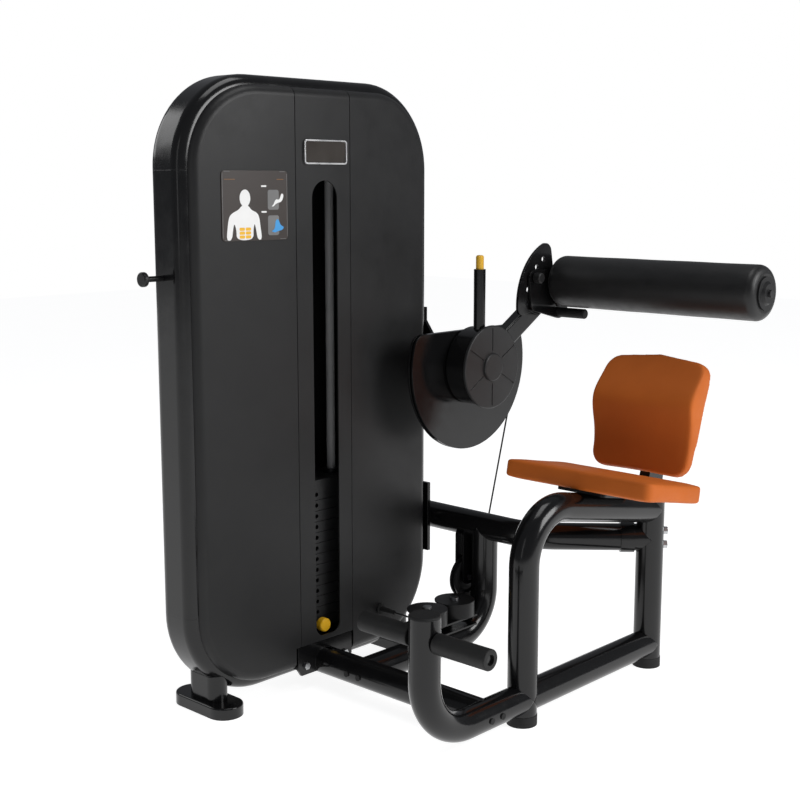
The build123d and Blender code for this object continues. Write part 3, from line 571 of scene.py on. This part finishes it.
def ellipse(cu, cv, ru, rv, steps=32):
    return [(cu + ru * cos(2 * pi * k / steps), cv + rv * sin(2 * pi * k / steps)) for k in range(steps)]


def smooth_outline(points, rounds=3):
    # corner cutting, so that a few points give a soft silhouette
    for _ in range(rounds):
        finer = []
        for k, point in enumerate(points):
            following = points[(k + 1) % len(points)]
            finer.append(tuple(0.75 * a + 0.25 * b for a, b in zip(point, following)))
            finer.append(tuple(0.25 * a + 0.75 * b for a, b in zip(point, following)))
        points = finer
    return points


TORSO = [
    (12, 2), (16, 34), (20, 58), (30, 68), (50, 76), (58, 86), (80, 86), (86, 76),
    (106, 68), (112, 56), (115, 34), (120, 2), (106, 2), (101, 30), (97, 44), (93, 28),
    (93, 2), (42, 2), (42, 28), (36, 44), (32, 30), (28, 2),
]
print_shape("print_torso", smooth_outline(TORSO), PRINT_WHITE)
print_shape("print_head", ellipse(69, 104, 16, 21), PRINT_WHITE)
print_shape("print_neck", round_box(60, 78, 78, 96, 3), PRINT_WHITE)
MUSCLE_W = 16
MUSCLE_H = 7.5
for row in range(3):
    for column in range(2):
        u = 51 + 18.5 * column
        v = 6 + 9.5 * row
        muscle = round_box(u, v, u + MUSCLE_W, v + MUSCLE_H, 2.8)
        print_shape(f"print_muscle_{row}_{column}", muscle, PRINT_AMBER, PRINT_LIFT_OVER)
for label, v in (("start", 75), ("end", 12)):
    print_shape(f"print_icon_{label}", round_box(139, v, 174, v + 49, 6), PRINT_GREY)
    print_shape(f"print_mark_{label}", round_box(119, v + 56, 135, v + 60, 1.5), PRINT_WHITE)
SEATED = [
    (150, 84), (156, 86), (164, 102), (176, 98), (182, 116), (190, 112), (184, 94), (166, 91), (156, 82),
]
print_shape("print_figure_start", smooth_outline(SEATED, 2), PRINT_WHITE, PRINT_LIFT_OVER)
LEANING = [
    (148, 22), (160, 26), (163, 50), (172, 52), (178, 36), (190, 32), (184, 24), (170, 22), (160, 18),
]
print_shape("print_figure_end", smooth_outline(LEANING, 2), PRINT_BLUE, PRINT_LIFT_OVER)
EDGE = 1.1
PLACARD_W = (placard_high.x - placard_low.x) / MM
PLACARD_H = (placard_high.z - placard_low.z) / MM
for label, u0, v0, u1, v1 in (
    ("top", 8, PLACARD_H - 3, PLACARD_W - 8, PLACARD_H - 3 + EDGE),
    ("right", PLACARD_W - 3, 8, PLACARD_W - 3 + EDGE, PLACARD_H - 8),
    ("left", 2, 8, 2 + EDGE, PLACARD_H - 8),
    ("bottom", 8, 2, PLACARD_W - 8, 2 + EDGE),
):
    print_shape(f"print_border_{label}", [(u0, v0), (u1, v0), (u1, v1), (u0, v1)], PRINT_GREY)
for label, u0, u1 in (("left", 8, 40), ("right", 168, 190)):
    print_shape(f"print_rule_{label}", round_box(u0, 149, u1, 150.4, 0.6), PRINT_ORANGE)

# ------------------------------------------------------------------ floor, light, camera
FLOOR_GREY = (0.4, 0.4, 0.4)
FLOOR_GREY_LIGHT = (0.42, 0.42, 0.42)
FLOOR_GLOW = 0.9
FLOOR_HALF = 12.0
floor_mat, floor_tree, floor_bsdf = shader("pale_floor", FLOOR_GREY, 0.85)
floor_bsdf.inputs["Emission Color"].default_value = (1, 1, 1, 1)
floor_bsdf.inputs["Emission Strength"].default_value = FLOOR_GLOW
floor_noise = noise_node(floor_tree, object_coords(floor_tree), 2.0)
floor_tone = two_tone(floor_tree, floor_noise, FLOOR_GREY, FLOOR_GREY_LIGHT)
floor_tree.links.new(floor_tone, floor_bsdf.inputs["Base Color"])
floor_corners = [(x * FLOOR_HALF, y * FLOOR_HALF, 0) for x, y in ((-1, -1), (1, -1), (1, 1), (-1, 1))]
floor = mesh_object("floor", floor_corners, [(0, 1, 2, 3)], floor_mat)

# a white backdrop behind the object, and a much dimmer one for what it lights and reflects
WORLD_DIM = 0.18
world = bpy.data.worlds.new("studio")
bpy.context.scene.world = world
world.use_nodes = True
tree = world.node_tree
background = tree.nodes["Background"]
background.inputs["Color"].default_value = (1, 1, 1, 1)
background.inputs["Strength"].default_value = 1.0
dim = tree.nodes.new("ShaderNodeBackground")
dim.inputs["Color"].default_value = (0.9, 0.93, 1.0, 1)
dim.inputs["Strength"].default_value = WORLD_DIM
path = tree.nodes.new("ShaderNodeLightPath")
choose = tree.nodes.new("ShaderNodeMixShader")
output = tree.nodes["World Output"]
tree.links.new(path.outputs["Is Camera Ray"], choose.inputs["Fac"])
tree.links.new(dim.outputs["Background"], choose.inputs[1])
tree.links.new(background.outputs["Background"], choose.inputs[2])
tree.links.new(choose.outputs["Shader"], output.inputs["Surface"])


def area_light(name, place, target, size, power):
    data = bpy.data.lights.new(name, "AREA")
    data.shape = "RECTANGLE"
    data.size, data.size_y = size
    data.energy = power
    light = bpy.data.objects.new(name, data)
    bpy.context.scene.collection.objects.link(light)
    light.location = place
    light.rotation_euler = (Vector(target) - Vector(place)).to_track_quat("-Z", "Y").to_euler()


MIDDLE = Vector((0, 0, 0.8))
area_light("key", (1.6, -4.2, 2.9), MIDDLE, (2.6, 2.2), 150)
area_light("fill_left", (-4.4, -1.0, 2.2), MIDDLE, (0.5, 2.6), 5)
area_light("top", (0.2, -0.4, 4.6), MIDDLE, (2.4, 1.6), 36)
area_light("rim_back", (-1.6, 3.6, 2.8), MIDDLE, (2.0, 2.0), 30)

# the photograph's viewpoint, solved from the tower's edges
CAMERA_LENS = 59.52
CAMERA_PLACE = (-2388, -2607, 1348.3)
CAMERA_TILT = 80.706
CAMERA_TURN = -46.776
camera_data = bpy.data.cameras.new("camera")
camera = bpy.data.objects.new("camera", camera_data)
bpy.context.scene.collection.objects.link(camera)
camera_data.lens = CAMERA_LENS
camera_data.sensor_width = 36.0
camera.location = at(*CAMERA_PLACE)
camera.rotation_euler = (radians(CAMERA_TILT), 0, radians(CAMERA_TURN))
bpy.context.scene.camera = camera
bpy.context.scene.view_settings.view_transform = "Standard"
